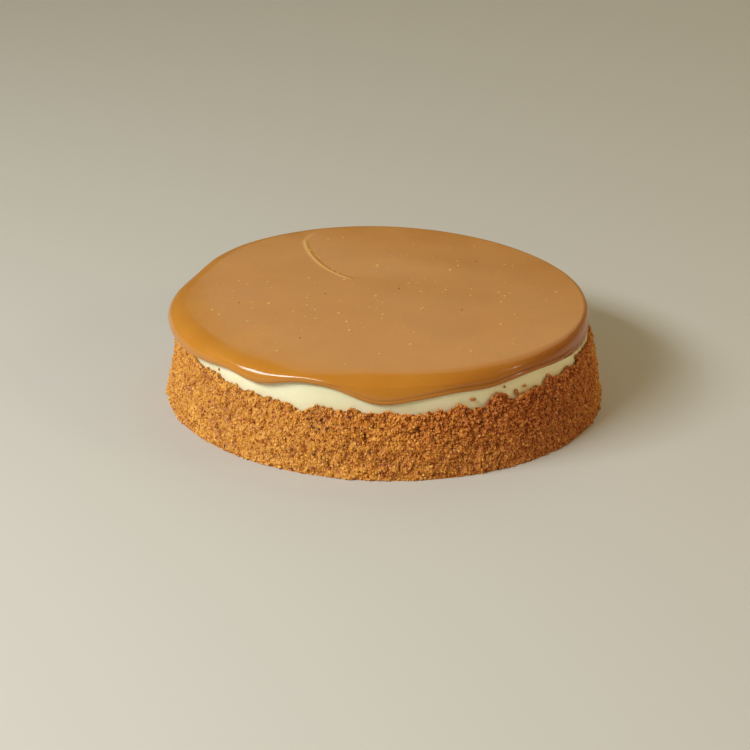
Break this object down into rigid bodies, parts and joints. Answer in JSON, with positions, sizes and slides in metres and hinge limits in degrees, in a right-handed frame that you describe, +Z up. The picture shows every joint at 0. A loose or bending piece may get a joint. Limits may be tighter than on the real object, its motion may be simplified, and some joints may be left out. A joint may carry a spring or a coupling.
{
  "type": "cheesecake",
  "caption": "Whole round cheesecake with a pressed crumb crust up its side, a pale baked filling and a poured caramel topping that runs over the edge.",
  "frame": {"origin": "centre of the crust's flat underside, on the surface the cake stands on", "axes": "+Z up, -Y towards the side that the picture shows, +X to that side's right"},
  "size_m": [0.2167, 0.2176, 0.0489],
  "materials": {
    "crumb_crust": "rough toasted biscuit crumbs",
    "cream_filling": "smooth satin baked cream",
    "caramel_topping": "glossy poured caramel"
  },
  "bodies": {
    "root": {"crumb_crust": "crumb_crust", "cream_filling": "cream_filling", "caramel_topping": "caramel_topping"}
  },
  "joints": []
}
